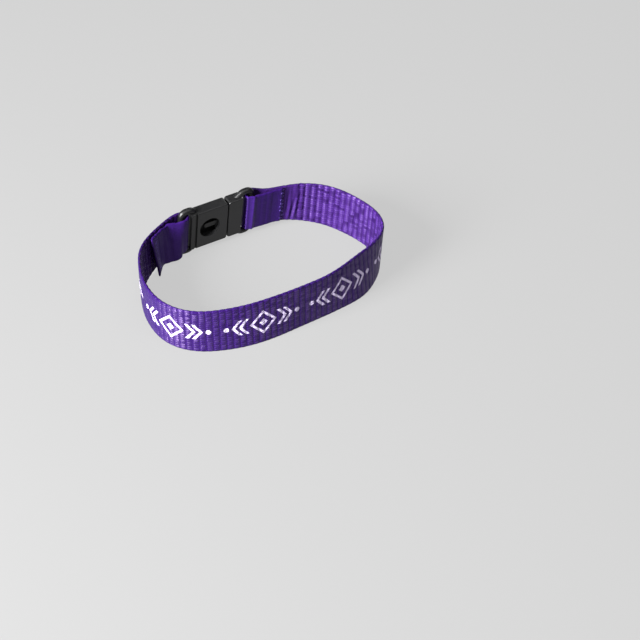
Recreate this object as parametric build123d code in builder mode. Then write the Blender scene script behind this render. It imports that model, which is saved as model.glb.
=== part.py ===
from build123d import *
import math
import os

# Woven wristband of flat ribbed webbing, joined at the back by a two-piece breakaway buckle.
# All sizes are in millimetres. X runs along the buckle, Y points to the back and Z is up.
# The loop stands on the webbing's lower edge, with the origin on the floor under its middle.

# Webbing
loop_length = 74.2
loop_depth = 48.0
web_width = 15.0
web_thickness = 1.2
rib_pitch = 1.9
rib_relief = 0.18
left_tail_length = 14.2
right_tail_length = 10.5
cut_slant = 0.8
layer_gap = 0.25
fold_lead = 1.2
edge_trim = 0.08

# Buckle, placed by the seam between its halves
seam_x = 1.9
buckle_back = 21.9
buckle_lean = 7.0
body_height = 13.9
body_thickness = 3.6
socket_length = 12.4
collar_length = 4.5
seam_gap = 0.25
edge_radius = 0.4
corner_radius = 0.8
groove_width = 0.8
groove_depth = 0.45
bead_width = 1.2

# Loops at the ends of the buckle
rod_radius = 1.0
loop_height = 17.6
socket_reach = 3.8
socket_shoulder = -0.6
plug_reach = 4.8
plug_shoulder = 0.9
rod_root = 1.6
loop_bend = 1.6
bar_gap = 0.25
web_gap = 0.25

# Socket hollow and window
mouth_wall = 1.1
face_wall = 0.9
cavity_depth = 9.8
window_diameter = 6.8
window_from_mouth = 6.1

# Tongue of the plug
tongue_gap = 0.25
tongue_base = 3.2
finger_width = 1.6
finger_length = 3.4
arm_width = 1.2
arm_length = 4.2
arm_bulb = 0.85

# The webbing's round course from the socket's bar to the plug's bar, by the left, front and right.
# x is a share of loop_length and y of loop_depth. lean is the way that the top edge tips out, in degrees.
# hold is how far the buckle still lifts and narrows the webbing, from 0 to 1 at its bars.
course_columns = ("x", "y", "lean", "hold")
course_rows = [
    (-0.248, 0.467, -4.0, 0.70),
    (-0.305, 0.421, -2.0, 0.40),
    (-0.364, 0.362, 0.0, 0.20),
    (-0.412, 0.292, 1.0, 0.05),
    (-0.454, 0.183, 2.0, 0.00),
    (-0.485, 0.054, 3.0, 0.00),
    (-0.500, -0.083, 3.5, 0.00),
    (-0.492, -0.212, 3.5, 0.00),
    (-0.458, -0.321, 3.5, 0.00),
    (-0.404, -0.398, 3.0, 0.00),
    (-0.330, -0.452, 1.5, 0.00),
    (-0.229, -0.492, 0.0, 0.00),
    (-0.115, -0.506, 0.0, 0.00),
    (0.007, -0.502, 2.0, 0.00),
    (0.115, -0.492, 1.5, 0.00),
    (0.202, -0.471, -2.0, 0.00),
    (0.283, -0.440, -6.5, 0.00),
    (0.354, -0.398, -4.0, 0.00),
    (0.418, -0.337, 1.0, 0.00),
    (0.464, -0.267, 3.0, 0.00),
    (0.492, -0.179, 3.0, 0.00),
    (0.500, -0.073, 2.0, 0.00),
    (0.489, 0.046, 1.0, 0.00),
    (0.466, 0.160, 1.0, 0.00),
    (0.431, 0.260, 0.0, 0.10),
    (0.381, 0.340, -2.0, 0.25),
    (0.318, 0.394, -5.0, 0.50),
    (0.251, 0.425, -7.0, 0.75),
    (0.191, 0.458, -7.0, 0.95),
]

# How far each turned-back tail stands off the outer layer, at its lower and upper edge. along is a share of the
# tail's length. The distances are shares of the way from sewn down, 0, to as far apart as at the bar, 1.
tail_columns = ("along", "low", "high")
left_tail_rows = [
    (0.00, 1.00, 1.00),
    (0.08, 1.45, 0.82),
    (0.17, 1.42, 0.56),
    (0.25, 1.28, 0.25),
    (0.34, 1.02, 0.05),
    (0.45, 0.52, 0.00),
    (0.53, 0.17, 0.00),
    (0.63, 0.10, 0.00),
    (0.75, 0.25, 0.00),
    (0.88, 0.45, 0.02),
    (1.00, 0.72, 0.10),
]
right_tail_rows = [
    (0.00, 1.00, 1.00),
    (0.10, 0.95, 0.95),
    (0.25, 0.65, 0.60),
    (0.45, 0.25, 0.20),
    (0.60, 0.05, 0.05),
    (0.70, 0.00, 0.00),
    (1.00, 0.00, 0.00),
]

mid_height = loop_height / 2
lift = mid_height - web_width / 2
fold_width = loop_height - 4 * rod_radius - 2 * web_gap
fold_radius = rod_radius + bar_gap + web_thickness / 2
layer_pitch = web_thickness + layer_gap
plug_end = seam_x + seam_gap / 2 + collar_length
socket_end = seam_x - seam_gap / 2 - socket_length
plug_bar = plug_end + plug_reach - rod_radius
socket_bar = socket_end - socket_reach + rod_radius

# The buckle's own plane, through the middle of its thickness: x along it, y up it, z to the inside of the loop
lean = math.radians(buckle_lean)
buckle = Plane(
    origin=(0, buckle_back, mid_height),
    x_dir=(1, 0, 0),
    z_dir=(0, -math.cos(lean), -math.sin(lean)),
)


def row_values(columns, rows):
    return [dict(zip(columns, row)) for row in rows]


def between(rows, key, column, at):
    """The value of a column at a place along the rows, straight from one row to the next."""
    for low, high in zip(rows, rows[1:]):
        if at <= high[key]:
            share = (at - low[key]) / (high[key] - low[key])
            return low[column] + share * (high[column] - low[column])
    return rows[-1][column]


def edge_ends(centre, outward, height, lean_angle):
    """The lower and upper ends of the webbing's cross-section at a place."""
    tip = math.radians(lean_angle)
    up = outward * math.sin(tip) + Vector(0, 0, 1) * math.cos(tip)
    return centre - up * height / 2, centre + up * height / 2


# The lower and upper edges of the outer layer, each through the same rows
course = row_values(course_columns, course_rows)
plan = [Vector(row["x"] * loop_length, row["y"] * loop_depth, 0) for row in course]
start = buckle.from_local_coords(Vector(socket_bar, 0, -fold_radius))
finish = buckle.from_local_coords(Vector(plug_bar, 0, -fold_radius))
lower_points, upper_points = [], []
for i, row in enumerate(course):
    before = plan[i - 1] if i else Vector(start.X, start.Y, 0)
    after = plan[i + 1] if i + 1 < len(plan) else Vector(finish.X, finish.Y, 0)
    along = (after - before).normalized()
    outward = Vector(along.Y, -along.X, 0)
    centre = plan[i] + Vector(0, 0, web_width / 2 - edge_trim + row["hold"] * lift)
    width = web_width + row["hold"] * (fold_width - web_width)
    low, high = edge_ends(centre, outward, width, row["lean"])
    lower_points.append(low)
    upper_points.append(high)
for place, at in ((0, start), (len(lower_points) + 1, finish)):
    low, high = edge_ends(at, Vector(0, 1, 0), fold_width, -buckle_lean)
    lower_points.insert(place, low)
    upper_points.insert(place, high)
with BuildLine() as lower_line:
    lower_edge = Spline(*lower_points, tangents=[(-1, 0, 0), (-1, 0, 0)], tangent_scalars=[1, 1])
with BuildLine() as upper_line:
    upper_edge = Spline(*upper_points, tangents=[(-1, 0, 0), (-1, 0, 0)], tangent_scalars=[1, 1])
course_length = (lower_edge.length + upper_edge.length) / 2


def layer_section(low_share, high_share, low_inset=0.0, high_inset=0.0):
    """Lower end, upper end and outward direction of the webbing, moved in from the outer layer by the insets."""
    low, high = lower_edge @ low_share, upper_edge @ high_share
    along = (lower_edge % low_share + upper_edge % high_share).normalized()
    outward = along.cross((high - low).normalized()).normalized()
    return low - outward * low_inset, high - outward * high_inset, outward


def tail_sections(rows, length, slant, from_finish):
    """Sections of a turned-back tail, from just past the bar to the cut end.

    slant is how much shorter the lower edge is than the upper.
    """
    table = row_values(tail_columns, rows)
    count = 2 * round(length / rib_pitch)
    spread = 2 * fold_radius - layer_pitch
    sections = []
    for i in range(1, count + 1):
        at = i / count
        reach = fold_lead + (length - fold_lead) * at
        low_share = (reach - slant / 2 * at) / course_length
        high_share = (reach + slant / 2 * at) / course_length
        if from_finish:
            low_share, high_share = 1 - low_share, 1 - high_share
        insets = [layer_pitch + spread * between(table, "along", side, at) for side in ("low", "high")]
        low, high, outward = layer_section(low_share, high_share, *insets)
        sections.append((low, high, outward * -1))
    return sections


def fold_sections(bar_x, side):
    """Sections round a bar, from the outer layer to the tail. side is the way to the buckle's body, 1 or -1."""
    count = 2 * max(2, round(math.pi * fold_radius / rib_pitch))
    sections = []
    for i in range(1, count):
        turn = math.pi * i / count
        radial = Vector(side * math.sin(turn), 0, -math.cos(turn))
        across = buckle.from_local_coords(radial) - buckle.from_local_coords(Vector(0, 0, 0))
        low, high = [
            buckle.from_local_coords(Vector(bar_x, end * fold_width / 2, 0) + radial * fold_radius)
            for end in (-1, 1)
        ]
        sections.append((low, high, across))
    return sections


loop_count = 2 * round(course_length / rib_pitch)
loop_sections = [layer_section(i / loop_count, i / loop_count) for i in range(loop_count + 1)]
left_end = tail_sections(left_tail_rows, left_tail_length, cut_slant, False)
left_fold = fold_sections(socket_bar, 1)
right_fold = fold_sections(plug_bar, -1)
right_end = tail_sections(right_tail_rows, right_tail_length, 0.0, True)
web_sections = left_end[::-1] + left_fold[::-1] + loop_sections + right_fold + right_end

with BuildPart() as strap:
    for i, (low, high, across) in enumerate(web_sections):
        thickness = web_thickness if i % 2 else web_thickness - 2 * rib_relief
        up = (high - low).normalized()
        with BuildSketch(Plane(origin=(low + high) / 2, x_dir=across, z_dir=across.cross(up))):
            Rectangle(thickness, (high - low).length)
    loft(ruled=True)
    split(bisect_by=Plane.XY)
strap.part.label = "strap"


def end_loop(body_end, shoulder, bar):
    """The course of a round rod that leaves one corner of the body, carries the bar and comes back to the other."""
    way = math.copysign(1, bar - body_end)
    root_height = body_height / 2 - rod_radius
    rod_height = loop_height / 2 - rod_radius
    half = [
        (body_end - way * rod_root, root_height),
        (body_end + way * shoulder, rod_height),
        (bar, rod_height),
    ]
    return half + [(x, -y) for x, y in reversed(half)]


def rod_plane(points):
    """A plane across the first run of a rod's course, in the row's own axes."""
    first, second = [buckle.from_local_coords(Vector(x, y, 0)) for x, y in points[:2]]
    return Plane(origin=first, z_dir=second - first)


# Socket: a flat hollow box with its mouth at the seam, a round window on the inside face and a rim before the loop
socket_middle = socket_end + socket_length / 2
mouth_x = socket_end + socket_length
with BuildPart() as buckle_socket:
    with BuildSketch(buckle.offset(-body_thickness / 2)) as socket_outline:
        with Locations((socket_middle, 0)):
            Rectangle(socket_length, body_height)
        fillet(socket_outline.vertices().group_by(Axis.X)[-1], corner_radius)
    extrude(amount=body_thickness)
    fillet(buckle_socket.edges().filter_by(Axis.X), edge_radius)
    with BuildSketch(buckle.offset(body_thickness / 2)):
        with Locations((socket_end + bead_width + groove_width / 2, 0)):
            Rectangle(groove_width, body_height)
    extrude(amount=-groove_depth, mode=Mode.SUBTRACT)
    with BuildLine(buckle):
        socket_loop = FilletPolyline(*end_loop(socket_end, socket_shoulder, socket_bar), radius=loop_bend)
    with BuildSketch(rod_plane(end_loop(socket_end, socket_shoulder, socket_bar))):
        Circle(rod_radius)
    sweep(path=socket_loop)
    with BuildSketch(buckle.offset(-body_thickness / 2 + face_wall)):
        with Locations((mouth_x - cavity_depth / 2, 0)):
            Rectangle(cavity_depth, body_height - 2 * mouth_wall)
    extrude(amount=body_thickness - 2 * face_wall, mode=Mode.SUBTRACT)
    with BuildSketch(buckle):
        with Locations((mouth_x - window_from_mouth, 0)):
            Circle(window_diameter / 2)
    extrude(amount=body_thickness, mode=Mode.SUBTRACT)
buckle_socket.part.label = "buckle_socket"

# Plug: a collar that carries on the body's outline, and a tongue with a middle finger between two bulbed arms
collar_x = mouth_x + seam_gap
tongue_height = body_height - 2 * mouth_wall - 2 * tongue_gap
tongue_thickness = body_thickness - 2 * face_wall - 2 * tongue_gap
tongue_root = collar_x - seam_gap - tongue_base
arm_y = tongue_height / 2 - arm_bulb - tongue_gap
with BuildPart() as buckle_plug:
    with BuildSketch(buckle.offset(-body_thickness / 2)) as collar_outline:
        with Locations((collar_x + collar_length / 2, 0)):
            Rectangle(collar_length, body_height)
        fillet(collar_outline.vertices().group_by(Axis.X)[0], corner_radius)
    extrude(amount=body_thickness)
    fillet(buckle_plug.edges().filter_by(Axis.X), edge_radius)
    with BuildLine(buckle):
        plug_loop = FilletPolyline(*end_loop(plug_end, plug_shoulder, plug_bar), radius=loop_bend)
    with BuildSketch(rod_plane(end_loop(plug_end, plug_shoulder, plug_bar))):
        Circle(rod_radius)
    sweep(path=plug_loop)
    with BuildSketch(buckle.offset(-tongue_thickness / 2)):
        with BuildLine():
            Polyline(
                (collar_x, tongue_height / 2),
                (tongue_root, tongue_height / 2 - tongue_gap),
                (tongue_root, -tongue_height / 2 + tongue_gap),
                (collar_x, -tongue_height / 2),
                close=True,
            )
        make_face()
        with Locations((tongue_root - finger_length / 2, 0)):
            Rectangle(finger_length, finger_width)
        with Locations((tongue_root - finger_length, 0)):
            Circle(finger_width / 2)
        with Locations((tongue_root - arm_length / 2, arm_y), (tongue_root - arm_length / 2, -arm_y)):
            Rectangle(arm_length, arm_width)
        with Locations((tongue_root - arm_length, arm_y), (tongue_root - arm_length, -arm_y)):
            Circle(arm_bulb)
    extrude(amount=tongue_thickness)
buckle_plug.part.label = "buckle_plug"

os.makedirs("parts", exist_ok=True)
export_step(strap.part, "parts/strap.step")
export_step(buckle_socket.part, "parts/buckle_socket.step")
export_step(buckle_plug.part, "parts/buckle_plug.step")
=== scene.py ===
import bmesh
import bpy
import math
import numpy as np
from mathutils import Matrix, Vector, noise


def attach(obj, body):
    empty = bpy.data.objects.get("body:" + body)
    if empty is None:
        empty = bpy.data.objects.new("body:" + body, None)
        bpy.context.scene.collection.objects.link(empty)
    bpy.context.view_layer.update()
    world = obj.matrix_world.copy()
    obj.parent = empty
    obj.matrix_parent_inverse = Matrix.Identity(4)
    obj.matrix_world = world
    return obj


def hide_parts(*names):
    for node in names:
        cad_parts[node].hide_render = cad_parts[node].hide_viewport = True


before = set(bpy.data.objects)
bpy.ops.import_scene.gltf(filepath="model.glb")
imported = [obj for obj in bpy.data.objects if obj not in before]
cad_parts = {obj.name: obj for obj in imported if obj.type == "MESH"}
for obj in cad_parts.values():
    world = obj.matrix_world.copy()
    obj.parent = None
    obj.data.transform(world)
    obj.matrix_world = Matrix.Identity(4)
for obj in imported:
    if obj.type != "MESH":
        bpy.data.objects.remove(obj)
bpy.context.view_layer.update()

mm = 0.001


def linearColour(hexText):  # sRGB hex to linear RGBA
    parts = [int(hexText[i:i + 2], 16) / 255 for i in (1, 3, 5)]
    return tuple(p / 12.92 if p <= 0.04045 else ((p + 0.055) / 1.055) ** 2.4 for p in parts) + (1.0,)


def addNode(tree, kind, settings=None, links=None):  # a node, its settings and what goes into its sockets
    node = tree.nodes.new("ShaderNode" + kind)
    for name, value in (settings or {}).items():
        setattr(node, name, value)
    for socket, source in (links or {}).items():
        if isinstance(source, bpy.types.Node):
            source = source.outputs[0]
        if isinstance(source, bpy.types.NodeSocket):
            tree.links.new(source, node.inputs[socket])
        else:
            node.inputs[socket].default_value = source
    return node


# settings that many nodes share
softStep = {"interpolation_type": "SMOOTHSTEP"}
flatNoise = {"noise_dimensions": "2D"}


def startMaterial(name):
    material = bpy.data.materials.new(name)
    material.use_nodes = True
    material.node_tree.nodes.clear()
    return material, material.node_tree


def finishMesh(bm, name, material, smooth=True):
    mesh = bpy.data.meshes.new(name)
    bm.to_mesh(mesh)
    bm.free()
    mesh.materials.append(material)
    mesh.polygons.foreach_set("use_smooth", [smooth] * len(mesh.polygons))
    piece = bpy.data.objects.new(name, mesh)
    bpy.context.scene.collection.objects.link(piece)
    return piece


# camera, as the photo was taken
cameraView = {
    "place": (-0.2394, -0.3997, 0.3696),
    "aim": (0.00415, 0.0055, 0.0),
    "lens": 114.1,  # focal length in mm
    "shift": (0.0938, -0.0828),  # the band lies left of the photo's middle
    "clip": (0.01, 20),
}


def placeCamera():
    data = bpy.data.cameras.new("camera")
    data.lens = cameraView["lens"]
    data.shift_x, data.shift_y = cameraView["shift"]
    data.clip_start, data.clip_end = cameraView["clip"]
    camera = bpy.data.objects.new("camera", data)
    place = Vector(cameraView["place"])
    camera.location = place
    camera.rotation_euler = (Vector(cameraView["aim"]) - place).to_track_quat("-Z", "Y").to_euler()
    bpy.context.scene.collection.objects.link(camera)
    bpy.context.scene.camera = camera


placeCamera()
print("camera placed")


# where the CAD model has its buckle
buckle = {
    "back": 21.9 * mm,  # y of its middle
    "middle": 8.8 * mm,  # height of its middle
    "lean": 7.0,  # degrees that its top leans inwards
    "socketBar": -13.425 * mm,
    "plugBar": 10.325 * mm,
    "barToWeb": 1.85 * mm,  # from a bar's middle to the middle of the webbing
    "foldReach": 2.1 * mm,  # of the fold past the bar
}

# the webbing's way round is the same as the solid's
webbing = {
    "length": 74.2 * mm,  # of the loop
    "depth": 48.0 * mm,
    "width": 15.0 * mm,
    "foldWidth": 13.1 * mm,
    "trim": 0.08 * mm,  # the lower edge lies this far under zero
    "layerPitch": 1.2 * mm,  # between the middles of two layers that touch
    "leadPastBar": 1.2 * mm,  # a tail starts to close in this far past its bar
    "leftTail": 14.2 * mm,
    "rightTail": 10.5 * mm,
    "cutSlant": 0.8 * mm,  # the left tail's upper edge is longer than its lower one
    "rightRise": 0.45 * mm,  # of the right tail's lower edge at its end
    "tailStart": 0.02,  # share of a tail that is left to the bend round the bar
    "foldGap": 0.1,  # radians, left out at both ends of a fold
    "ease": 0.4 * mm,  # kinks shorter than this are evened out
    # points on each span of the course, on the whole course, on a tail, on a fold and on the whole webbing
    "spanSteps": 60,
    "courseSteps": 2001,
    "tailSteps": 80,
    "foldSteps": 24,
    "webSteps": 4001,
    # x and y as shares of the loop, lean of the top edge in degrees, hold of the buckle from 0 to 1
    "course": [
        (-0.248, 0.467, -4.0, 0.70),
        (-0.305, 0.421, -2.0, 0.40),
        (-0.364, 0.362, 0.0, 0.20),
        (-0.412, 0.292, 1.0, 0.05),
        (-0.454, 0.183, 2.0, 0.00),
        (-0.485, 0.054, 3.0, 0.00),
        (-0.500, -0.083, 3.5, 0.00),
        (-0.492, -0.212, 3.5, 0.00),
        (-0.458, -0.321, 3.5, 0.00),
        (-0.404, -0.398, 3.0, 0.00),
        (-0.330, -0.452, 1.5, 0.00),
        (-0.229, -0.492, 0.0, 0.00),
        (-0.115, -0.506, 0.0, 0.00),
        (0.007, -0.502, 2.0, 0.00),
        (0.115, -0.492, 1.5, 0.00),
        (0.202, -0.471, -2.0, 0.00),
        (0.283, -0.440, -6.5, 0.00),
        (0.354, -0.398, -4.0, 0.00),
        (0.418, -0.337, 1.0, 0.00),
        (0.464, -0.267, 3.0, 0.00),
        (0.492, -0.179, 3.0, 0.00),
        (0.500, -0.073, 2.0, 0.00),
        (0.489, 0.046, 1.0, 0.00),
        (0.466, 0.160, 1.0, 0.00),
        (0.431, 0.260, 0.0, 0.10),
        (0.381, 0.340, -2.0, 0.25),
        (0.318, 0.394, -5.0, 0.50),
        (0.251, 0.425, -7.0, 0.75),
        (0.191, 0.458, -7.0, 0.95),
    ],
    # how far a turned-back tail stands off the outer layer: place along it, share at its lower and upper edge
    "leftStand": [
        (0.00, 1.00, 1.00), (0.08, 1.45, 0.82), (0.17, 1.42, 0.56), (0.25, 1.28, 0.25), (0.34, 1.02, 0.05),
        (0.45, 0.52, 0.00), (0.53, 0.17, 0.00), (0.63, 0.10, 0.00), (0.75, 0.25, 0.00), (0.88, 0.45, 0.02),
        (1.00, 0.72, 0.10),
    ],
    "rightStand": [
        (0.00, 1.00, 1.00), (0.10, 0.95, 0.95), (0.25, 0.65, 0.60), (0.45, 0.25, 0.20), (0.60, 0.05, 0.05),
        (0.68, -0.06, -0.06), (0.80, -0.13, -0.13), (1.00, -0.13, -0.13),
    ],
}

leanAngle = math.radians(buckle["lean"])
buckleIn = np.array([0, -math.cos(leanAngle), -math.sin(leanAngle)])  # from the buckle towards the wrist
buckleUp = np.array([0, -math.sin(leanAngle), math.cos(leanAngle)])


def fromBuckle(x, y, z):  # x along the buckle, y up it, z to the wrist
    return np.array([x, buckle["back"], buckle["middle"]]) + buckleUp * y + buckleIn * z


def lengthAlong(points):
    return np.concatenate([[0], np.cumsum(np.linalg.norm(np.diff(points, axis=0), axis=1))])


def evenly(points, count):
    along = lengthAlong(points)
    places = np.linspace(0, along[-1], count)
    return np.stack([np.interp(places, along, points[:, k]) for k in range(3)], 1)


def curveThrough(points, startWay, endWay, count):  # a smooth curve through the points, sampled evenly
    points = np.array(points)
    steps = np.linalg.norm(np.diff(points, axis=0), axis=1)
    n = len(points)
    matrix, right = np.zeros((n, n)), np.zeros((n, 3))
    matrix[0, 0] = matrix[-1, -1] = 1
    right[0], right[-1] = startWay, endWay
    for i in range(1, n - 1):
        a, b = 1 / steps[i - 1], 1 / steps[i]
        matrix[i, i - 1:i + 2] = a, 2 * (a + b), b
        right[i] = 3 * (a * a * (points[i] - points[i - 1]) + b * b * (points[i + 1] - points[i]))
    slopes = np.linalg.solve(matrix, right)
    dense = []
    for i in range(n - 1):
        t = np.linspace(0, 1, webbing["spanSteps"], endpoint=i == n - 2)[:, None]
        dense.append(
            (2 * t ** 3 - 3 * t ** 2 + 1) * points[i] + (t ** 3 - 2 * t ** 2 + t) * steps[i] * slopes[i]
            + (3 * t ** 2 - 2 * t ** 3) * points[i + 1] + (t ** 3 - t ** 2) * steps[i] * slopes[i + 1]
        )
    return evenly(np.concatenate(dense), count)


def courseEdges():  # the outer layer's lower and upper edges, from the socket's bar round to the plug's
    plan = [np.array([x * webbing["length"], y * webbing["depth"], 0]) for x, y, *_ in webbing["course"]]
    start = fromBuckle(buckle["socketBar"], 0, -buckle["barToWeb"])
    finish = fromBuckle(buckle["plugBar"], 0, -buckle["barToWeb"])
    lift = buckle["middle"] - webbing["width"] / 2
    half = buckleUp * webbing["foldWidth"] / 2
    low, high = [start - half], [start + half]
    for i, (_, _, lean, hold) in enumerate(webbing["course"]):
        before = plan[i - 1] if i else start * (1, 1, 0)
        after = plan[i + 1] if i + 1 < len(plan) else finish * (1, 1, 0)
        along = (after - before) / np.linalg.norm(after - before)
        outward = np.array([along[1], -along[0], 0])
        centre = plan[i] + np.array([0, 0, webbing["width"] / 2 - webbing["trim"] + hold * lift])
        tip = math.radians(lean)
        up = outward * math.sin(tip) + np.array([0, 0, math.cos(tip)])
        width = webbing["width"] + hold * (webbing["foldWidth"] - webbing["width"])
        low.append(centre - up * width / 2)
        high.append(centre + up * width / 2)
    low.append(finish - half)
    high.append(finish + half)
    ends = np.array([-1.0, 0, 0])
    return [curveThrough(edge, ends, ends, webbing["courseSteps"]) for edge in (low, high)]


def tailEdges(low, high, stand, length, slant, rise, fromFinish):  # from just past the bar to the cut end
    size = len(low) - 1
    courseLength = (lengthAlong(low)[-1] + lengthAlong(high)[-1]) / 2
    spread = 2 * buckle["barToWeb"] - webbing["layerPitch"]
    stand = np.array(stand)
    lowTail, highTail = [], []
    for at in np.linspace(webbing["tailStart"], 1, webbing["tailSteps"]):
        reach = webbing["leadPastBar"] + (length - webbing["leadPastBar"]) * at
        places = [(reach - slant / 2 * at) / courseLength, (reach + slant / 2 * at) / courseLength]
        if fromFinish:
            places = [1 - p for p in places]
        i, j = [min(max(int(p * size), 1), size - 1) for p in places]
        along = (low[i + 1] - low[i - 1]) + (high[j + 1] - high[j - 1])
        up = high[j] - low[i]
        outward = np.cross(along, up)
        outward /= np.linalg.norm(outward)
        insets = [webbing["layerPitch"] + spread * np.interp(at, stand[:, 0], stand[:, k]) for k in (1, 2)]
        lowTail.append(low[i] - outward * insets[0] + np.array([0, 0, rise * at]))
        highTail.append(high[j] - outward * insets[1])
    return lowTail, highTail


def foldEdges(bar, side):  # round a bar, from the outer layer to the tail
    low, high = [], []
    for turn in np.linspace(webbing["foldGap"], math.pi - webbing["foldGap"], webbing["foldSteps"]):
        x, z = bar + side * math.sin(turn) * buckle["foldReach"], -math.cos(turn) * buckle["barToWeb"]
        low.append(fromBuckle(x, -webbing["foldWidth"] / 2, z))
        high.append(fromBuckle(x, webbing["foldWidth"] / 2, z))
    return low, high


def eased(points, reach):  # evens out kinks shorter than reach, ends kept
    step = np.linalg.norm(points[1] - points[0])
    half = int(3 * reach / step)
    weights = np.exp(-0.5 * (np.arange(-half, half + 1) * step / reach) ** 2)
    weights /= weights.sum()
    before, after = 2 * points[0] - points[half:0:-1], 2 * points[-1] - points[-2:-half - 2:-1]
    padded = np.concatenate([before, points, after])
    return np.stack([np.convolve(padded[:, k], weights, mode="valid") for k in range(3)], 1)


courseLow, courseHigh = courseEdges()
leftLow, leftHigh = tailEdges(
    courseLow, courseHigh, webbing["leftStand"], webbing["leftTail"], webbing["cutSlant"], 0, False)
rightLow, rightHigh = tailEdges(
    courseLow, courseHigh, webbing["rightStand"], webbing["rightTail"], 0, webbing["rightRise"], True)
leftFoldLow, leftFoldHigh = foldEdges(buckle["socketBar"], 1)
rightFoldLow, rightFoldHigh = foldEdges(buckle["plugBar"], -1)
lowEdge = np.array(leftLow[::-1] + leftFoldLow[::-1] + list(courseLow) + rightFoldLow + rightLow)
highEdge = np.array(leftHigh[::-1] + leftFoldHigh[::-1] + list(courseHigh) + rightFoldHigh + rightHigh)

# both edges sampled at the same even places along the middle line
middleAlong = lengthAlong((lowEdge + highEdge) / 2)
webLength = middleAlong[-1]
webPlaces = np.linspace(0, webLength, webbing["webSteps"])
lowEdge, highEdge = [
    eased(np.stack([np.interp(webPlaces, middleAlong, edge[:, k]) for k in range(3)], 1), webbing["ease"])
    for edge in (lowEdge, highEdge)]
outWay = np.cross(np.gradient((lowEdge + highEdge) / 2, axis=0), highEdge - lowEdge)
outWay /= np.linalg.norm(outWay, axis=1)[:, None]
leftBarPlace = float(middleAlong[len(leftLow) + len(leftFoldLow)])
rightBarPlace = float(middleAlong[len(leftLow) + len(leftFoldLow) + len(courseLow) - 1])
print("webbing", round(webLength / mm, 1), "mm long, outer layer from", round(leftBarPlace / mm, 1),
      "to", round(rightBarPlace / mm, 1))


def webPoints(along, across, out):  # along and out in metres, across from -1 at the lower edge to 1
    last = webbing["webSteps"] - 1
    share = np.clip(along / webLength, 0, 1) * last
    base = np.minimum(share.astype(int), last - 1)
    part = (share - base)[:, None]
    low, high, way = [edge[base] * (1 - part) + edge[base + 1] * part for edge in (lowEdge, highEdge, outWay)]
    middle, reach = (low + high) / 2, (high - low) / 2
    return middle + reach * across[:, None] + way * out[:, None]


# woven polyester: glossy yarns of fine filaments run along the band and float over its ribs, so each rib
# catches the light in short dashes, purple where it is brightest and nearly black in the shade
weave = {
    "ribPitch": 1.9 * mm,
    "yarnPitch": 0.78 * mm,  # real yarns and filaments are finer, these are as fine as the picture can show
    "filamentsPerMm": (1.5, 8),  # along and across the band
    "filamentHeight": 0.3,  # as a share of a yarn's
    "floatFlat": 0.45,  # share of a rib on which its floats keep their height
    "floatSlope": 1.6,  # how far floats may tip, either way
    "waver": 0.4,  # of the yarns sideways, as a share of their pitch
    "waverPerMm": 0.9,
    "bump": 0.16 * mm,
    "bumpStrength": (0.2, 0.7),  # on the tails and elsewhere
    # how light the painted shade leaves the grooves and the gaps between yarns, and how much the yarns
    # differ:
    # on the tails, on the printed side and on the inner side
    "paintedGrooveLight": (0.9, 0.25, 0.12),
    "paintedGapLight": (0.75, 0.4, 0.15),
    "yarnSpread": (0.2, 1.1, 1.7),
    "grooveReach": 0.5,  # share of a rib that keeps clear of the groove's shade
    "gapReach": 0.9,
    "meanTint": 0.7,
    "patchTint": 0.6,  # what cloudy patches of dye add to it
    "patchPerMm": 0.45,
    "dyeFloor": 0.25,  # share of the crest's colour that is left in the darkest place
    # crest colours, and the groove colour towards which painted shade and the darkest dye lean
    "crest": "#361B60",
    "printedCrest": "#2B115B",
    "groove": "#180B2D",
    "innerOffset": 30 * mm,  # where the inner side lies in the map
    "printedContrast": 0.1,  # of the inner side's contrast, left on the printed side
    "printedDye": (0.8, 0.45),  # how light the rest of it is, on the tails and elsewhere
    # the ribs show from one bar to near the other: places along the band where they are smooth and where full
    "ribsBegin": (leftBarPlace, leftBarPlace + 4 * mm),
    "ribsEnd": (rightBarPlace - 13 * mm, rightBarPlace - 17 * mm),
    # painted shade darkens the band on the tails and towards the buckle, and a painted highlight lightens the
    # plug's fold, as in the photo
    "leftShade": (leftBarPlace + 10 * mm, leftBarPlace + 48 * mm),
    "rightShade": (rightBarPlace - 8 * mm, rightBarPlace - 19 * mm),
    "paintedEndLight": 0.6,
    "foldEnd": (rightBarPlace + 8.5 * mm, rightBarPlace + 6 * mm),
    "paintedFoldHighlight": 1.5,
    # painted shade makes the left tail's lower corner darker still
    "corner": (-1.4 * mm, 0.9 * mm),  # the left tail's lower corner is darker still
    "cornerSlant": 0.35,
    "paintedCornerShade": 0.35,
    "gloss": (0.01, 0.7),  # of the darkest and the lightest yarns
    "printedGloss": 0.74,  # and what is left of it on the printed side, the tails, the edges and the ink
    "tailGloss": 0.75,
    "edgeGloss": 0.35,
    "inkGloss": 0.2,
    "glossEdge": (7.5, 6.5),  # mm from the middle line, so the inner side has the edges' gloss all over
    "highlight": "#E7C4FF",
    "roughness": (0.45, 0.62),  # of yarns and of ink
}

# white screen print, in a matt ink that sinks into the grooves: a diamond between chevrons and dots. Measures
# are in mm from a motif's middle, and an edge has two, where the ink begins and where it covers
inkPrint = {
    "period": 27.0,
    "begin": 28.0,  # mm along the band, and nothing is printed outside these two
    "end": 188.0,
    "core": (1.35, 1.15),
    "diamond": 3.7,
    "chevrons": (7.0, 9.0),
    "chevronSlant": 0.8,
    "armEnd": (2.75, 2.6),
    "stroke": (0.56, 0.44),
    "dot": 11.0,
    "dotEdge": (0.85, 0.72),
    "ink": "#B8ADC9",
    "inkInGroove": "#8E83AA",
    "grooveReach": 0.65,
    "grooveShare": 0.5,  # of the full ink, left in a groove
}


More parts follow.
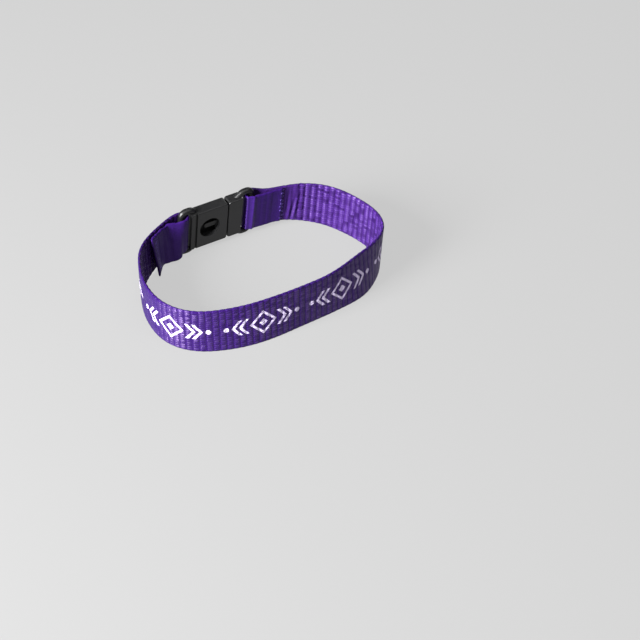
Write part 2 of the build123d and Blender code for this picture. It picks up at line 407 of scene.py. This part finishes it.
def inkMask(tree, run, y):  # where the ink lies, from mm along the band and mm from its middle line
    inMotif = addNode(tree, "Math", {"operation": "MODULO"}, {0: run, 1: inkPrint["period"]})
    fromMiddle = addNode(tree, "Math", {"operation": "SUBTRACT"}, {0: inMotif, 1: inkPrint["period"] / 2})
    x = addNode(tree, "Math", {"operation": "ABSOLUTE"}, {0: fromMiddle})
    diamond = addNode(tree, "Math", {"operation": "ADD"}, {0: x, 1: y})
    chevron = addNode(tree, "Math", {"operation": "MULTIPLY_ADD"}, {0: y, 1: inkPrint["chevronSlant"], 2: x})
    edge, full = inkPrint["core"]
    mask = addNode(tree, "MapRange", softStep, {"Value": diamond, "From Min": edge, "From Max": full})
    edge, full = inkPrint["armEnd"]
    armEnd = addNode(tree, "MapRange", softStep, {"Value": y, "From Min": edge, "From Max": full})
    edge, full = inkPrint["stroke"]
    strokes = [(diamond, inkPrint["diamond"], 1.0)] + [(chevron, c, armEnd) for c in inkPrint["chevrons"]]
    for shape, middle, limit in strokes:
        off = addNode(tree, "Math", {"operation": "SUBTRACT"}, {0: shape, 1: middle})
        away = addNode(tree, "Math", {"operation": "ABSOLUTE"}, {0: off})
        stroke = addNode(tree, "MapRange", softStep, {"Value": away, "From Min": edge, "From Max": full})
        bounded = addNode(tree, "Math", {"operation": "MULTIPLY"}, {0: stroke, 1: limit})
        mask = addNode(tree, "Math", {"operation": "MAXIMUM"}, {0: mask, 1: bounded})
    edge, full = inkPrint["dotEdge"]
    dotAway = addNode(tree, "VectorMath", {"operation": "DISTANCE"}, {
        0: addNode(tree, "CombineXYZ", links={0: x, 1: y}), 1: (inkPrint["dot"], 0.0, 0.0)})
    dot = addNode(tree, "MapRange", softStep, {
        "Value": dotAway.outputs["Value"], "From Min": edge, "From Max": full})
    mask = addNode(tree, "Math", {"operation": "MAXIMUM"}, {0: mask, 1: dot})
    begun = addNode(tree, "Math", {"operation": "GREATER_THAN"}, {0: run, 1: inkPrint["begin"]})
    going = addNode(tree, "Math", {"operation": "LESS_THAN"}, {0: run, 1: inkPrint["end"]})
    for limit in (begun, going):
        mask = addNode(tree, "Math", {"operation": "MULTIPLY"}, {0: mask, 1: limit})
    return mask


def wovenPolyester():
    material, tree = startMaterial("woven polyester webbing")
    uv = addNode(tree, "UVMap", {"uv_map": "weave"})
    place = addNode(tree, "SeparateXYZ", links={0: uv})
    along, across = place.outputs[0], place.outputs[1]

    # ribs across the band, each with a row of yarn floats that shifts by half a yarn from rib to rib
    ribPlace = addNode(tree, "Math", {"operation": "DIVIDE"}, {0: along, 1: weave["ribPitch"]})
    ribNumber = addNode(tree, "Math", {"operation": "FLOOR"}, {0: ribPlace})
    ribPart = addNode(tree, "Math", {"operation": "FRACT"}, {0: ribPlace})
    ribSide = addNode(tree, "Math", {"operation": "MULTIPLY_ADD"}, {0: ribPart, 1: 2.0, 2: -1.0})
    ribAway = addNode(tree, "Math", {"operation": "ABSOLUTE"}, {0: ribSide})
    oddRib = addNode(tree, "Math", {"operation": "MODULO"}, {0: ribNumber, 1: 2.0})
    rowShift = addNode(tree, "Math", {"operation": "MULTIPLY"}, {0: oddRib, 1: 0.5})
    waver = addNode(tree, "TexNoise", flatNoise, {
        "Vector": uv, "Scale": weave["waverPerMm"] / mm, "Detail": 2.0})
    yarnShift = addNode(tree, "Math", {"operation": "MULTIPLY_ADD"}, {
        0: waver, 1: weave["waver"], 2: rowShift})
    yarnCount = addNode(tree, "Math", {"operation": "DIVIDE"}, {0: across, 1: weave["yarnPitch"]})
    yarnPlace = addNode(tree, "Math", {"operation": "ADD"}, {0: yarnCount, 1: yarnShift})
    yarnNumber = addNode(tree, "Math", {"operation": "FLOOR"}, {0: yarnPlace})
    yarnPart = addNode(tree, "Math", {"operation": "FRACT"}, {0: yarnPlace})
    yarnSide = addNode(tree, "Math", {"operation": "MULTIPLY_ADD"}, {0: yarnPart, 1: 2.0, 2: -1.0})
    yarnEdge = addNode(tree, "Math", {"operation": "MULTIPLY"}, {0: yarnSide, 1: yarnSide})
    yarnRound = addNode(tree, "Math", {"operation": "SUBTRACT"}, {0: 1.0, 1: yarnEdge})
    floatRound = addNode(tree, "MapRange", softStep, {
        "Value": ribAway, "From Min": 1.0, "From Max": weave["floatFlat"]})

    # the turned-back tails and where the right one is sewn down are smooth
    start, end = weave["ribsBegin"]
    ribsBegin = addNode(tree, "MapRange", softStep, {"Value": along, "From Min": start, "From Max": end})
    start, end = weave["ribsEnd"]
    ribsEnd = addNode(tree, "MapRange", softStep, {"Value": along, "From Min": start, "From Max": end})
    ribbed = addNode(tree, "Math", {"operation": "MULTIPLY"}, {0: ribsBegin, 1: ribsEnd})
    inner = addNode(tree, "Math", {"operation": "GREATER_THAN"}, {0: across, 1: weave["innerOffset"] / 2})

    # no two floats lie at quite the same slope
    chance = addNode(tree, "TexWhiteNoise", flatNoise, {
        "Vector": addNode(tree, "CombineXYZ", links={0: ribNumber, 1: yarnNumber})})
    slope = addNode(tree, "Math", {"operation": "MULTIPLY_ADD"}, {
        0: chance, 1: 2 * weave["floatSlope"], 2: -weave["floatSlope"]})
    sloped = addNode(tree, "Math", {"operation": "MULTIPLY_ADD"}, {0: slope, 1: ribSide, 2: 1.0})
    yarnBulk = addNode(tree, "Math", {"operation": "MULTIPLY"}, {0: yarnRound, 1: floatRound})
    yarnHeight = addNode(tree, "Math", {"operation": "MULTIPLY"}, {0: yarnBulk, 1: sloped})
    perMetre = [count / mm for count in weave["filamentsPerMm"]]
    filaments = addNode(tree, "TexNoise", flatNoise, {
        "Vector": addNode(tree, "Mapping", links={"Vector": uv, "Scale": (*perMetre, 1)}),
        "Scale": 1.0, "Detail": 1.0})
    height = addNode(tree, "Math", {"operation": "MULTIPLY_ADD"}, {
        0: filaments, 1: weave["filamentHeight"], 2: yarnHeight})
    flat, raised = weave["bumpStrength"]
    strength = addNode(tree, "MapRange", links={"Value": ribbed, "To Min": flat, "To Max": raised})
    bump = addNode(tree, "Bump", links={"Strength": strength, "Distance": weave["bump"], "Height": height})

    # shade is painted into the grooves and between yarns, and no two floats took quite the same dye
    bySide = {}
    for name in ("paintedGrooveLight", "paintedGapLight", "yarnSpread"):
        onTails, onPrinted, onInner = weave[name]
        elsewhere = addNode(tree, "MapRange", links={"Value": inner, "To Min": onPrinted, "To Max": onInner})
        bySide[name] = addNode(tree, "MapRange", links={
            "Value": ribbed, "To Min": onTails, "To Max": elsewhere})
    ribPaintedShade = addNode(tree, "MapRange", softStep, {
        "Value": ribAway, "From Min": 1.0, "From Max": weave["grooveReach"], "To Min": bySide["paintedGrooveLight"]})
    yarnPaintedShade = addNode(tree, "MapRange", softStep, {
        "Value": yarnRound, "From Max": weave["gapReach"], "To Min": bySide["paintedGapLight"]})
    light = addNode(tree, "Math", {"operation": "MULTIPLY"}, {0: ribPaintedShade, 1: yarnPaintedShade})
    centred = addNode(tree, "Math", {"operation": "SUBTRACT"}, {0: chance, 1: 0.5})
    tint = addNode(tree, "Math", {"operation": "MULTIPLY_ADD"}, {
        0: centred, 1: bySide["yarnSpread"], 2: weave["meanTint"]})
    patch = addNode(tree, "TexNoise", flatNoise, {
        "Vector": uv, "Scale": weave["patchPerMm"] / mm, "Detail": 2.0})
    tint = addNode(tree, "Math", {"operation": "MULTIPLY_ADD"}, {0: patch, 1: weave["patchTint"], 2: tint})
    # the yarns' own tone, darkened by the painted shade
    dyeAndPaintedLight = addNode(tree, "Math", {"operation": "MULTIPLY"}, {0: light, 1: tint})

    # how light the band is from place to place: painted shade on the tails, beside the buckle and at the left
    # tail's lower corner, and a painted highlight on the plug's fold
    start, end = weave["leftShade"]
    paintedLightByPlace = addNode(tree, "MapRange", softStep, {
        "Value": along, "From Min": start, "From Max": end, "To Min": weave["paintedEndLight"]})
    start, end = weave["rightShade"]
    rightShade = addNode(tree, "MapRange", links={
        "Value": along, "From Min": start, "From Max": end, "To Min": weave["paintedEndLight"]})
    start, end = weave["foldEnd"]
    foldEnd = addNode(tree, "MapRange", softStep, {"Value": along, "From Min": start, "From Max": end})
    pastBar = addNode(tree, "Math", {"operation": "GREATER_THAN"}, {0: along, 1: rightBarPlace})
    onFold = addNode(tree, "Math", {"operation": "MULTIPLY"}, {0: foldEnd, 1: pastBar})
    paintedFoldHighlight = addNode(tree, "MapRange", links={
        "Value": onFold, "To Min": 1.0, "To Max": weave["paintedFoldHighlight"]})
    corner = addNode(tree, "Math", {"operation": "MULTIPLY_ADD"}, {
        0: across, 1: weave["cornerSlant"], 2: along})
    start, end = weave["corner"]
    paintedCornerShade = addNode(tree, "MapRange", softStep, {
        "Value": corner, "From Min": start, "From Max": end, "To Min": weave["paintedCornerShade"]})
    for share in (rightShade, paintedFoldHighlight, paintedCornerShade):
        paintedLightByPlace = addNode(tree, "Math", {"operation": "MULTIPLY"}, {0: paintedLightByPlace, 1: share})
    dyeAndPaintedLight = addNode(tree, "Math", {"operation": "MULTIPLY"}, {0: dyeAndPaintedLight, 1: paintedLightByPlace})

    # the printed side is smoother, so little of the pattern shows there in its dye
    dyeAndPaintedLightShare = addNode(tree, "MapRange", links={"Value": dyeAndPaintedLight, "To Min": weave["dyeFloor"]})
    contrast = addNode(tree, "MapRange", links={"Value": inner, "To Min": weave["printedContrast"]})
    onTails, elsewhere = weave["printedDye"]
    printedDye = addNode(tree, "MapRange", links={"Value": ribbed, "To Min": onTails, "To Max": elsewhere})
    evenDye = addNode(tree, "MapRange", links={"Value": inner, "To Min": printedDye, "To Max": 0.0})
    dyeAndPaintedLightShare = addNode(tree, "Math", {"operation": "MULTIPLY_ADD"}, {0: dyeAndPaintedLightShare, 1: contrast, 2: evenDye})
    dyeAndPaintedLightShare = addNode(tree, "Math", {"operation": "MULTIPLY"}, {0: dyeAndPaintedLightShare, 1: paintedLightByPlace})
    crest = addNode(tree, "Mix", {"data_type": "RGBA"}, {
        0: inner, 6: linearColour(weave["printedCrest"]), 7: linearColour(weave["crest"])})
    dye = addNode(tree, "Mix", {"data_type": "RGBA"}, {
        0: dyeAndPaintedLightShare, 6: linearColour(weave["groove"]), 7: crest.outputs[2]})

    run = addNode(tree, "Math", {"operation": "MULTIPLY"}, {0: along, 1: 1 / mm})
    rise = addNode(tree, "Math", {"operation": "MULTIPLY"}, {0: across, 1: 1 / mm})
    y = addNode(tree, "Math", {"operation": "ABSOLUTE"}, {0: rise})
    mask = inkMask(tree, run, y)
    inkLight = addNode(tree, "MapRange", softStep, {
        "Value": ribAway, "From Min": 1.0, "From Max": inkPrint["grooveReach"],
        "To Min": inkPrint["grooveShare"]})
    ink = addNode(tree, "Mix", {"data_type": "RGBA"}, {
        0: inkLight, 6: linearColour(inkPrint["inkInGroove"]), 7: linearColour(inkPrint["ink"])})
    colour = addNode(tree, "Mix", {"data_type": "RGBA"}, {0: mask, 6: dye.outputs[2], 7: ink.outputs[2]})

    # bare filaments shine, the ink is flatter
    bare, inked = weave["roughness"]
    roughness = addNode(tree, "MapRange", links={"Value": mask, "To Min": bare, "To Max": inked})
    darkest, lightest = weave["gloss"]
    gloss = addNode(tree, "MapRange", {"clamp": False}, {
        "Value": dyeAndPaintedLight, "To Min": darkest, "To Max": lightest})
    start, end = weave["glossEdge"]
    edgeGloss = addNode(tree, "MapRange", softStep, {
        "Value": y, "From Min": start, "From Max": end, "To Min": weave["edgeGloss"]})
    sideGloss = addNode(tree, "MapRange", links={"Value": inner, "To Min": weave["printedGloss"]})
    inkGloss = addNode(tree, "MapRange", links={
        "Value": mask, "To Min": sideGloss, "To Max": weave["inkGloss"]})
    tailGloss = addNode(tree, "MapRange", links={"Value": ribbed, "To Min": weave["tailGloss"]})
    for share in (edgeGloss, paintedLightByPlace, inkGloss, tailGloss):
        gloss = addNode(tree, "Math", {"operation": "MULTIPLY"}, {0: gloss, 1: share})

    shader = addNode(tree, "BsdfPrincipled", links={
        "Base Color": colour.outputs[2],
        "Roughness": roughness,
        "IOR": 1.6,
        "Specular IOR Level": gloss,
        "Specular Tint": linearColour(weave["highlight"]),
        "Anisotropic": 0.8,  # filaments run along the band, so the gloss spreads across it
        "Anisotropic Rotation": 0.25,
        "Tangent": addNode(tree, "Tangent", {"direction_type": "UV_MAP", "uv_map": "weave"}),
        "Normal": bump,
    })
    addNode(tree, "OutputMaterial", links={0: shader})
    return material


webMaterial = wovenPolyester()
print("webbing material made")

strapShape = {
    "stepsPerRib": 10,
    "rows": 26,
    "rowCrowding": 1.6,  # rows are closer together towards the edges
    "blankThick": 0.1,  # of the flat strip that is laid along the course
    "halfThick": 0.40 * mm,
    "relief": 0.24 * mm,  # of a rib over its grooves
    "ribUneven": 0.2,  # share of the relief
    "ribShift": 0.03,  # share of the pitch
    "seed": 3,
    "printedRelief": 0.3,  # share of the relief left on the printed side
    # and along the band: the ribs are low on the tails and where the right one is sewn down
    "reliefAlong": [
        (0.0, 0.25),
        (leftBarPlace - 2 * mm, 0.25),
        (leftBarPlace + 4 * mm, 1.0),
        (rightBarPlace - 18 * mm, 1.0),
        (rightBarPlace - 13 * mm, 0.2),
        (rightBarPlace, 0.3),
        (webLength, 0.1),
    ],
    "edgeFlat": 1.3 * mm,  # the ribs run out this far from the edges
    "edgeRelief": 0.25,  # share of the relief left at the very edge
    "edgeRound": 0.4 * mm,
    "edgeThick": 0.12,  # share of the thickness left there
    "edgeScallop": 0.006,  # how far the grooves cut into the edge, as a share of half the width
    "scallopFrom": 0.97,
    "wander": 0.05 * mm,  # small waves of the whole band
    "wanderPerMm": 0.16,
    "wanderAcross": 1.1,  # over half the width
    "fray": 0.14 * mm,  # of the cut ends
    "frayReach": 0.5 * mm,
    "frayWaves": 6.0,
    "sealThin": 0.45,  # share by which the cut ends are thinner
    "sealReach": 0.25 * mm,
    # dips in the left tail's upper edge: mm from its bar, width, depth as a share of half the band's width
    "topDips": [(-8.2, 0.9, 0.045), (-12.0, 1.1, 0.05), (-15.2, 0.8, 0.03)],
    # creases and soft folds: mm from a bar, mm that the upper end leads, width, height, middle, half length
    "leftFolds": [
        (-16.5, 0.0, 1.2, 0.15, 0.1, 1.2),
        (-12.4, 0.3, 0.9, 0.24, 0.0, 1.3),
        (-11.0, 0.0, 0.6, -0.15, 0.3, 1.0),
        (-9.6, 0.2, 0.8, 0.24, 0.0, 1.3),
    ],
    "rightFolds": [
        (-16.4, 0.4, 0.45, 0.26, 0.6, 0.55),
        (-15.4, -1.8, 0.40, -0.28, -0.1, 0.8),
        (-14.4, -1.7, 0.35, 0.26, -0.3, 0.6),
        (-13.4, -1.4, 0.35, -0.24, -0.4, 0.5),
        (-12.7, -0.9, 0.30, 0.2, 0.1, 0.7),
        (-11.9, 0.3, 0.35, -0.22, 0.2, 0.8),
        (4.6, 0.0, 0.35, 0.32, 0.0, 1.5),
        (6.2, 0.3, 0.35, 0.28, 0.0, 1.5),
    ],
}

# zigzag seams that hold the turned-back tails
seams = {
    "thread": 0.11 * mm,  # half its thickness
    # mm from the cut end to the row's middle, width of the zigzag in mm, seed
    "left": (2.0, 2.8, 4),
    "right": (-0.5, 2.5, 5),
    "stitches": 8,  # pairs, there and back
    "reach": 0.86,  # share of the band's width
    "uneven": 0.35,  # mm along the band
    "unevenAcross": 0.3,  # share of the step from hole to hole
    "pull": 0.16 * mm,  # of each side of the webbing at a hole
    "pullReach": 0.35 * mm,
    "overRibs": 0.1,  # share of the ribs' relief under the thread
    "sink": 0.2,  # how deep a stitch starts and how far it rises, as shares of half the webbing's thickness
    "arch": 1.25,
    "archSharpness": 0.4,
    "pointsPerStitch": 7,
    "weld": 1e-7,
    "colour": "#4A3482",
    "twistPerMm": 6,  # drawn coarser than the real one, which is too fine to show
    "twistDepth": 0.04 * mm,
}


def needleHoles(side):  # where the zigzag goes through: along from the cut end, and across from edge to edge
    middle, width, seed = seams[side]
    rng = np.random.default_rng(seed)
    count = 2 * seams["stitches"]
    holes = []
    for i in range(count + 1):
        swing = (1 if i % 2 else -1) * width / 2 + rng.uniform(-1, 1) * seams["uneven"]
        number = i + rng.uniform(-seams["unevenAcross"], seams["unevenAcross"])
        holes.append(((middle + swing) * mm, -seams["reach"] + 2 * seams["reach"] * number / count))
    return holes


def onOuterLayer(fromEnd, side):  # the place on the outer layer behind a place on a tail
    if side == "left":
        return 2 * leftBarPlace - math.pi * buckle["barToWeb"] - fromEnd
    return 2 * rightBarPlace + math.pi * buckle["barToWeb"] - webLength + fromEnd


def buildStrap():
    # a flat strip, printed side up, and its map in metres along and across the band
    bm = bmesh.new()
    columns = round(webLength / weave["ribPitch"]) * strapShape["stepsPerRib"]
    bmesh.ops.create_grid(bm, x_segments=columns, y_segments=strapShape["rows"], size=0.5)
    bmesh.ops.solidify(bm, geom=bm.faces[:], thickness=strapShape["blankThick"])
    bm.verts.index_update()
    blank = np.array([v.co for v in bm.verts])
    along = (blank[:, 0] + 0.5) * webLength
    toEdge = np.clip(1 - 2 * np.abs(blank[:, 1]), 0, 1) ** strapShape["rowCrowding"]
    across = np.sign(blank[:, 1]) * (1 - toEdge)
    middle = (blank[:, 2].min() + blank[:, 2].max()) / 2
    side = np.where(blank[:, 2] > middle, 1.0, -1.0)
    uvLayer = bm.loops.layers.uv.new("weave")
    for face in bm.faces:
        inner = face.calc_center_median().z < middle - 0.4 * strapShape["blankThick"]  # but not the rim
        offset = weave["innerOffset"] if inner else 0
        for loop in face.loops:
            i = loop.vert.index
            loop[uvLayer].uv = (along[i], across[i] * webbing["width"] / 2 + offset)
    strap = finishMesh(bm, "webbing", webMaterial)

    # its ribs, no two quite alike
    ribPlace = along / weave["ribPitch"] + 1e-6  # kept clear of rounding
    ribNumber = np.floor(ribPlace).astype(int)
    rib = 0.5 - 0.5 * np.cos(2 * math.pi * np.mod(ribPlace, 1))
    rng = np.random.default_rng(strapShape["seed"])
    uneven, slack = strapShape["ribUneven"], strapShape["ribShift"]
    strength = rng.uniform(1 - uneven, 1 + uneven, ribNumber.max() + 2)[ribNumber]
    shift = rng.uniform(-slack, slack, ribNumber.max() + 2)[ribNumber] * weave["ribPitch"]

    # how high they stand
    fromEdge = (1 - np.abs(across)) * webbing["width"] / 2
    relief = np.interp(along, *zip(*strapShape["reliefAlong"]))
    inwards = np.clip(fromEdge / strapShape["edgeFlat"], 0, 1)
    relief *= strapShape["edgeRelief"] + (1 - strapShape["edgeRelief"]) * inwards
    relief *= np.where(side > 0, strapShape["printedRelief"], 1.0)
    half = strapShape["halfThick"] + strapShape["relief"] * (rib * strength - 0.5) * relief

    # rounded edges, with the grooves and the left tail's dips in them
    rounding = np.clip(1 - fromEdge / strapShape["edgeRound"], 0, 1)
    thick = np.sqrt(np.clip(1 - rounding ** 2, 0, 1))
    half *= thick * (1 - strapShape["edgeThick"]) + strapShape["edgeThick"]
    atEdge = np.abs(across) > strapShape["scallopFrom"]
    reach = across * (1 - strapShape["edgeScallop"] * (1 - rib) * atEdge)
    for place, width, depth in strapShape["topDips"]:
        dip = np.exp(-(((along - leftBarPlace) / mm - place) / width) ** 2)
        reach -= depth * dip * np.clip(across, 0, 1) ** 2

    # small waves, the creases beside the buckle, and where the thread pulls the layers in
    out = np.array([
        noise.noise(Vector((a / mm * strapShape["wanderPerMm"], c * strapShape["wanderAcross"], 0.0)))
        for a, c in zip(along, across)]) * strapShape["wander"]
    for bar, rows in ((leftBarPlace, strapShape["leftFolds"]), (rightBarPlace, strapShape["rightFolds"])):
        for place, lead, width, height, centre, spread in rows:
            line = (along - bar) / mm - place - lead * (across - centre) / 2
            out += height * mm * np.exp(-(line / width) ** 2 - ((across - centre) / spread) ** 4)
    for end in ("left", "right"):
        for fromEnd, level in needleHoles(end):
            for hole in (fromEnd if end == "left" else webLength - fromEnd, onOuterLayer(fromEnd, end)):
                if hole < 0 or hole > webLength:
                    continue
                alongAway = (along - hole) / seams["pullReach"]
                acrossAway = (across - level) * webbing["width"] / 2 / seams["pullReach"]
                half -= seams["pull"] * np.exp(-alongAway ** 2 - acrossAway ** 2)

    # the cut ends are thin and a little ragged
    fromEnd = np.minimum(along, webLength - along)
    ragged = np.array([noise.noise(Vector((c * strapShape["frayWaves"], 3.0, 0.0))) for c in across])
    ragged *= strapShape["fray"] * np.exp(-fromEnd / strapShape["frayReach"])
    half *= 1 - strapShape["sealThin"] * np.exp(-fromEnd / strapShape["sealReach"])

    # laid along the course
    at = np.clip(along + shift * rib * relief + ragged, 0, webLength)
    strap.data.vertices.foreach_set("co", webPoints(at, reach, side * half + out).ravel())
    strap.data.update()
    return strap


strap = buildStrap()
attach(strap, "root")
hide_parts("strap")
print("webbing built,", len(strap.data.polygons), "faces")


def sewingThread():  # its twist breaks the gloss into small glints
    material, tree = startMaterial("twisted polyester sewing thread")
    place = addNode(tree, "TexCoord").outputs["Object"]
    twist = addNode(tree, "TexNoise", links={
        "Vector": place, "Scale": seams["twistPerMm"] / mm, "Detail": 1.0})
    bump = addNode(tree, "Bump", links={"Strength": 0.6, "Distance": seams["twistDepth"], "Height": twist})
    shader = addNode(tree, "BsdfPrincipled", links={
        "Base Color": linearColour(seams["colour"]), "Roughness": 0.5, "IOR": 1.6, "Specular IOR Level": 0.3,
        "Normal": bump})
    addNode(tree, "OutputMaterial", links={0: shader})
    return material


threadMaterial = sewingThread()


def sewSeam(side):  # thread over the tail, and the same zigzag on the band's outer face
    curve = bpy.data.curves.new("seam", "CURVE")
    curve.dimensions = "3D"
    curve.bevel_depth, curve.bevel_resolution = seams["thread"], 1
    curve.use_fill_caps = True
    lift = strapShape["halfThick"] + strapShape["relief"] * seams["overRibs"]
    holes = needleHoles(side)
    for face in ("tail", "outer"):
        points = []
        for (endA, levelA), (endB, levelB) in zip(holes, holes[1:]):
            for at in np.linspace(0, 1, seams["pointsPerStitch"], endpoint=False):
                fromEnd, level = endA + (endB - endA) * at, levelA + (levelB - levelA) * at
                arch = seams["arch"] * math.sin(math.pi * at) ** seams["archSharpness"]
                over = lift * (-seams["sink"] + arch)
                if face == "tail" and fromEnd > 0:
                    along, out = (fromEnd if side == "left" else webLength - fromEnd), over
                else:  # past the cut end the needle meets the outer layer alone
                    along, out = onOuterLayer(fromEnd, side), over if face == "outer" else -over
                points.append(webPoints(np.array([along]), np.array([level]), np.array([out]))[0])
        spline = curve.splines.new("POLY")
        spline.points.add(len(points) - 1)
        for control, point in zip(spline.points, points):
            control.co = (*point, 1)
    holder = bpy.data.objects.new("seam", curve)
    bpy.context.scene.collection.objects.link(holder)
    bpy.context.view_layer.update()
    mesh = bpy.data.meshes.new_from_object(holder.evaluated_get(bpy.context.evaluated_depsgraph_get()))
    bpy.data.objects.remove(holder)
    bm = bmesh.new()
    bm.from_mesh(mesh)
    bpy.data.meshes.remove(mesh)
    bmesh.ops.remove_doubles(bm, verts=bm.verts[:], dist=seams["weld"])
    bmesh.ops.recalc_face_normals(bm, faces=bm.faces[:])
    thread = finishMesh(bm, "stitching_" + side, threadMaterial)
    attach(thread, "root")
    return thread


for seamSide in ("left", "right"):
    thread = sewSeam(seamSide)
    print("seam sewn,", len(thread.data.polygons), "faces")


# black acetal, moulded with a fine spark texture, so its gloss is broken up
plastic = {
    "black": "#0B0B0C",
    "paler": "#121213",
    "grain": 0.12 * mm,
    "grainDepth": 0.03 * mm,
    "cloudPerMm": 0.22,
    "roughness": (0.34, 0.46),
}


def mouldedAcetal():
    material, tree = startMaterial("moulded black acetal")
    place = addNode(tree, "TexCoord").outputs["Object"]
    grain = addNode(tree, "TexNoise", links={
        "Vector": place, "Scale": 1 / plastic["grain"], "Detail": 3.0, "Roughness": 0.6})
    cloud = addNode(tree, "TexNoise", links={
        "Vector": place, "Scale": plastic["cloudPerMm"] / mm, "Detail": 3.0})
    colour = addNode(tree, "Mix", {"data_type": "RGBA"}, {
        0: cloud, 6: linearColour(plastic["black"]), 7: linearColour(plastic["paler"])})
    glossy, dull = plastic["roughness"]
    rough = addNode(tree, "MapRange", links={"Value": cloud, "To Min": glossy, "To Max": dull})
    bump = addNode(tree, "Bump", links={"Strength": 0.25, "Distance": plastic["grainDepth"], "Height": grain})
    shader = addNode(tree, "BsdfPrincipled", links={
        "Base Color": colour.outputs[2], "Roughness": rough, "IOR": 1.48, "Specular IOR Level": 0.36,
        "Normal": bump})
    addNode(tree, "OutputMaterial", links={0: shader})
    return material


buckleMaterial = mouldedAcetal()
for name in ("buckle_socket", "buckle_plug"):
    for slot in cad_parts[name].material_slots:
        slot.material = buckleMaterial
print("buckle finished")


# a table lit from below under matt paper, so nothing is mirrored in it, in an even studio tent with the main
# soft light from the left
studio = {
    "floor": "#3A3A3A",
    "floorRadius": 4.0,
    "glow": 0.545,
    "around": 0.15,
    "aim": (0, 0, 0.01),  # of all lights
    "lights": [
        # name, place, width, height, watts
        ("leftWindow", (-0.50, -0.07, 0.25), 0.21, 0.27, 19.0),
        ("topTent", (0.05, -0.60, 1.10), 1.3, 1.0, 11.0),
        ("rightRim", (0.70, 0.55, 0.45), 0.3, 0.3, 1.2),
    ],
}


def buildStudio():
    material, tree = startMaterial("matt paper sweep")
    shader = addNode(tree, "BsdfPrincipled", links={
        "Base Color": linearColour(studio["floor"]), "Roughness": 0.9, "Specular IOR Level": 0.1,
        "Emission Color": (1, 1, 1, 1), "Emission Strength": studio["glow"]})
    addNode(tree, "OutputMaterial", links={0: shader})
    bm = bmesh.new()
    bmesh.ops.create_circle(bm, cap_ends=True, segments=64, radius=studio["floorRadius"])
    floor = finishMesh(bm, "floor", material, smooth=False)
    for name, place, width, height, watts in studio["lights"]:
        data = bpy.data.lights.new(name, "AREA")
        data.shape, data.size, data.size_y, data.energy = "RECTANGLE", width, height, watts
        light = bpy.data.objects.new(name, data)
        light.location = place
        light.rotation_euler = (Vector(studio["aim"]) - Vector(place)).to_track_quat("-Z", "Y").to_euler()
        bpy.context.scene.collection.objects.link(light)
    world = bpy.data.worlds.new("tent")
    world.use_nodes = True
    background = world.node_tree.nodes["Background"]
    background.inputs["Color"].default_value = (1, 1, 1, 1)
    background.inputs["Strength"].default_value = studio["around"]
    bpy.context.scene.world = world
    bpy.context.scene.view_settings.view_transform = "Standard"


buildStudio()
print("studio lit")
